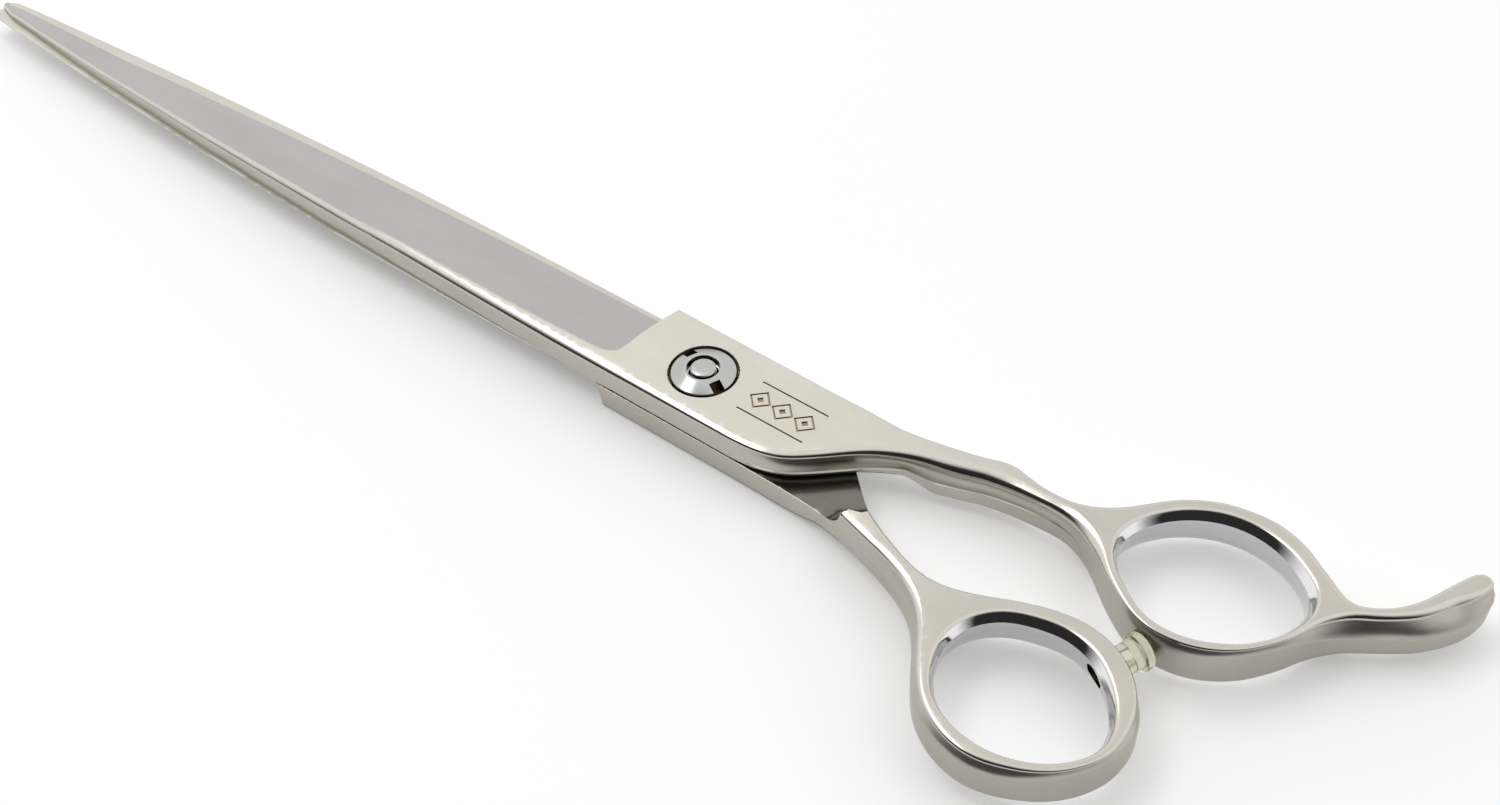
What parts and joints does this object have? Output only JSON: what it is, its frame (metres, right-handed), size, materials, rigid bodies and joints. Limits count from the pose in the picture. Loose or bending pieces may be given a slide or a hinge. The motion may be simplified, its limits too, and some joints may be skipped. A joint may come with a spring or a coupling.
{
  "type": "hair cutting shears",
  "caption": "Long barber shears: two blades on a screw pivot with a conical tension nut, two finger rings, a bumper between them and a curved finger rest.",
  "frame": {"origin": "on the pivot axis, on the underside of the lower block, which is the resting plane", "axes": "+X from the pivot to the handles, +Y to the finger ring side, +Z along the pivot axis, up through the tension nut"},
  "size_m": [0.2497, 0.0562, 0.0086],
  "materials": {
    "blade_steel": "satin",
    "polished_steel": "polished",
    "bronze": "turned",
    "white_polymer": "matte",
    "clear_polymer": "translucent"
  },
  "bodies": {
    "finger_half": {"finger_blade": "blade_steel", "pivot_bush": "bronze", "thrust_washer": "polished_steel"},
    "thumb_half": {"thumb_blade": "blade_steel", "pivot_screw": "polished_steel", "slide_washer": "white_polymer", "spring_washer": "polished_steel", "click_ring": "bronze", "bumper": "clear_polymer", "bumper_stud": "polished_steel"},
    "nut": {"tension_nut": "polished_steel"}
  },
  "joints": [
    {"name": "blade_pivot", "type": "hinge", "parent": "finger_half", "child": "thumb_half", "pos_m": [0, 0, 0.0038], "axis": [0, 0, -1], "range_deg": [0, 95]},
    {"name": "tension_turn", "type": "hinge", "parent": "thumb_half", "child": "nut", "pos_m": [0, 0, 0.0076], "axis": [0, 0, 1], "range_deg": [-60, 60]}
  ]
}
